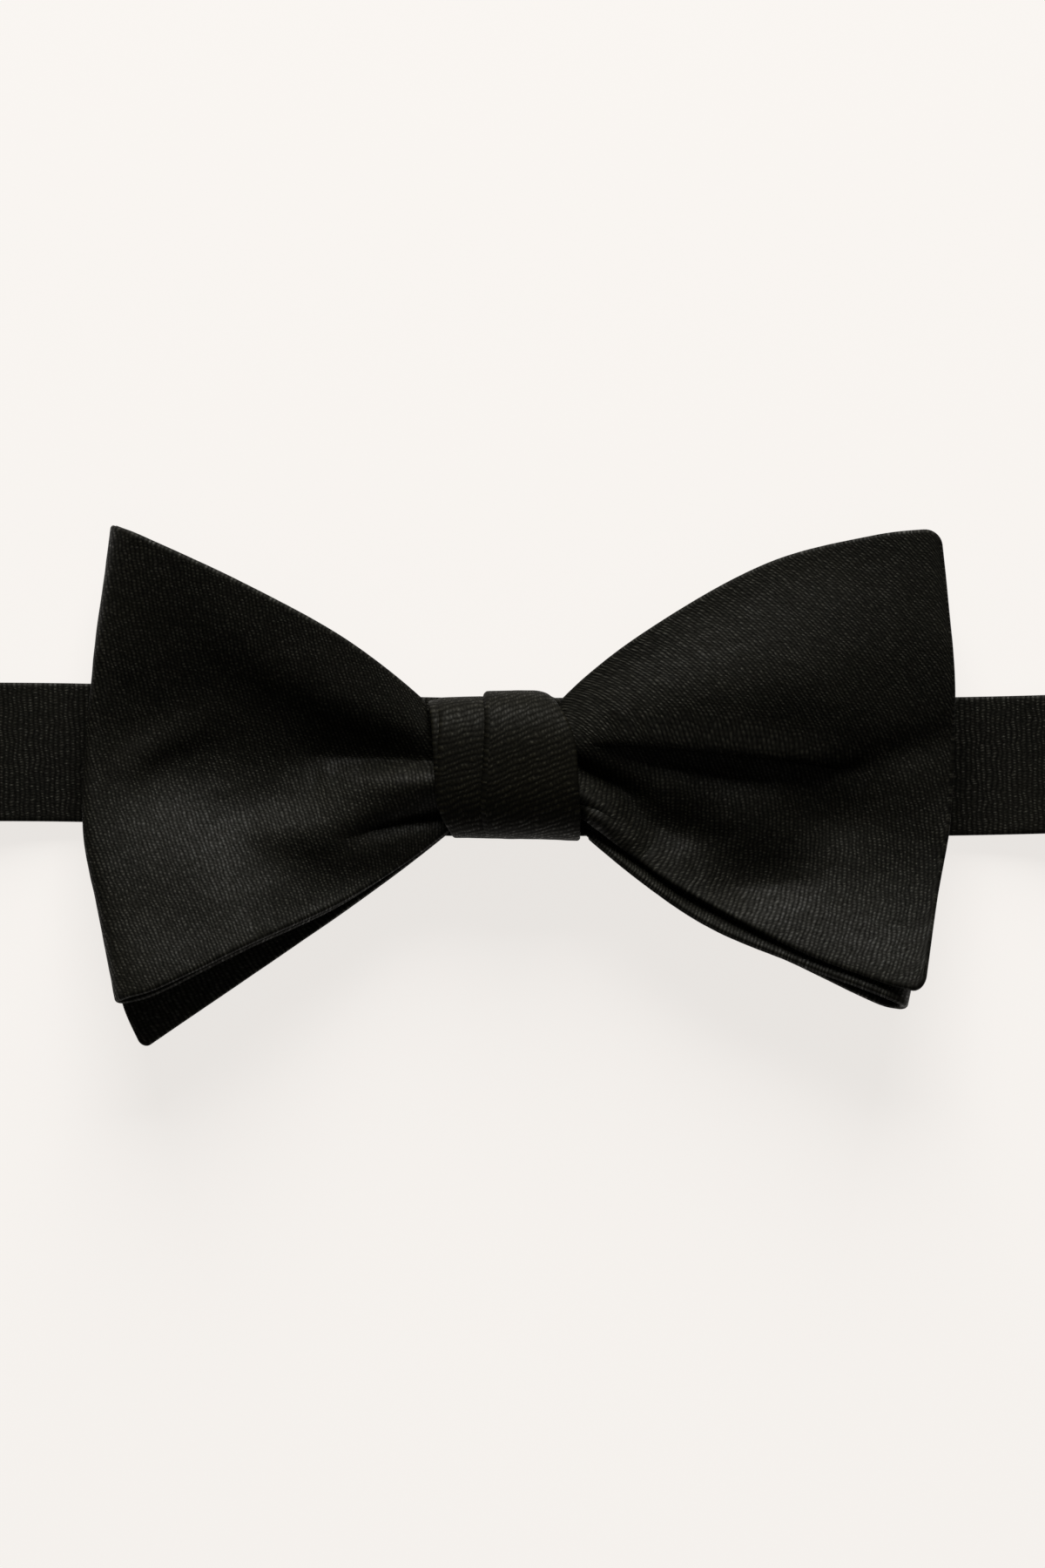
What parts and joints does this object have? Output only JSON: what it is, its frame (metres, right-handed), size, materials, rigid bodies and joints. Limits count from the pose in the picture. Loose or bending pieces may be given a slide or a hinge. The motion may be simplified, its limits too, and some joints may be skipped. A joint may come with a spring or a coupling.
{
  "type": "self-tie bow tie",
  "caption": "Tied self-tie bow tie with a folded front bow, a folded back bow behind it, a wrapped centre knot and a closed neck band, lying flat.",
  "frame": {"origin": "on the surface the bow tie lies on, under the middle of its outline", "axes": "+Z out of the front of the bow, +X to the right and +Y to the top edge as seen from the front"},
  "size_m": [0.1955, 0.0707, 0.0172],
  "materials": {
    "band_satin": "black silk satin strap with a fine ribbed weave",
    "bow_satin": "black silk satin with a soft sheen and fine diagonal twill lines",
    "knot_satin": "black silk satin with coarser slanting twill lines"
  },
  "bodies": {
    "root": {"neck_band": "band_satin", "back_bow": "bow_satin", "front_bow": "bow_satin", "knot_wrap": "knot_satin"}
  },
  "joints": []
}
